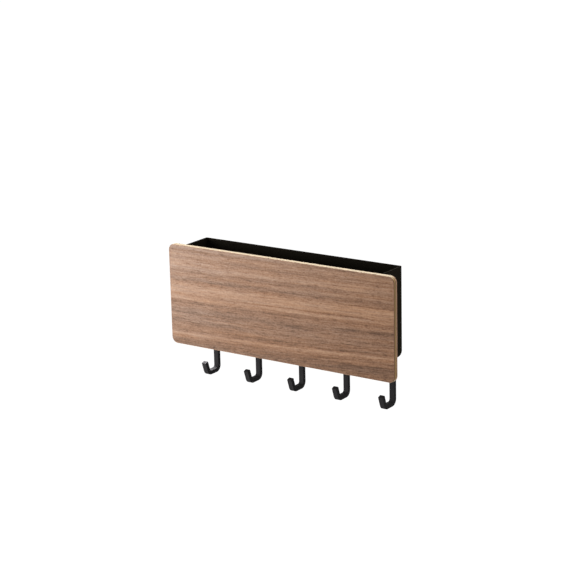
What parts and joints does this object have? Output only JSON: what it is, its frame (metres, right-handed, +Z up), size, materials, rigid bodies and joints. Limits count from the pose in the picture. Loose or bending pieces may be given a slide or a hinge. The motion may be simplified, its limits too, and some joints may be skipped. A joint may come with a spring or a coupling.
{
  "type": "magnetic key rack",
  "caption": "Wall rack with an open-topped steel tray behind a wood-veneered panel, a row of bent bar hooks below it and a magnetic sheet on its back.",
  "frame": {"origin": "centre of the magnetic sheet's wall face", "axes": "+X along the width, to the right seen from the front; +Y into the wall, so the front faces -Y; +Z up"},
  "size_m": [0.2, 0.0331, 0.1065],
  "materials": {
    "black_powder_coat": "fine-textured matt black powder coat",
    "walnut_plywood": "clear matt lacquer on walnut veneer, light plywood edges",
    "magnetic_rubber": "smooth matt",
    "black_zinc": "black zinc plating"
  },
  "bodies": {
    "root": {"back_plate": "black_powder_coat", "tray_band": "black_powder_coat", "front_plate": "black_powder_coat", "front_panel": "walnut_plywood", "magnet_sheet": "magnetic_rubber", "hook_1": "black_powder_coat", "hook_2": "black_powder_coat", "hook_3": "black_powder_coat", "hook_4": "black_powder_coat", "hook_5": "black_powder_coat", "panel_screw_1": "black_zinc", "panel_screw_2": "black_zinc", "panel_screw_3": "black_zinc", "panel_screw_4": "black_zinc"}
  },
  "joints": []
}
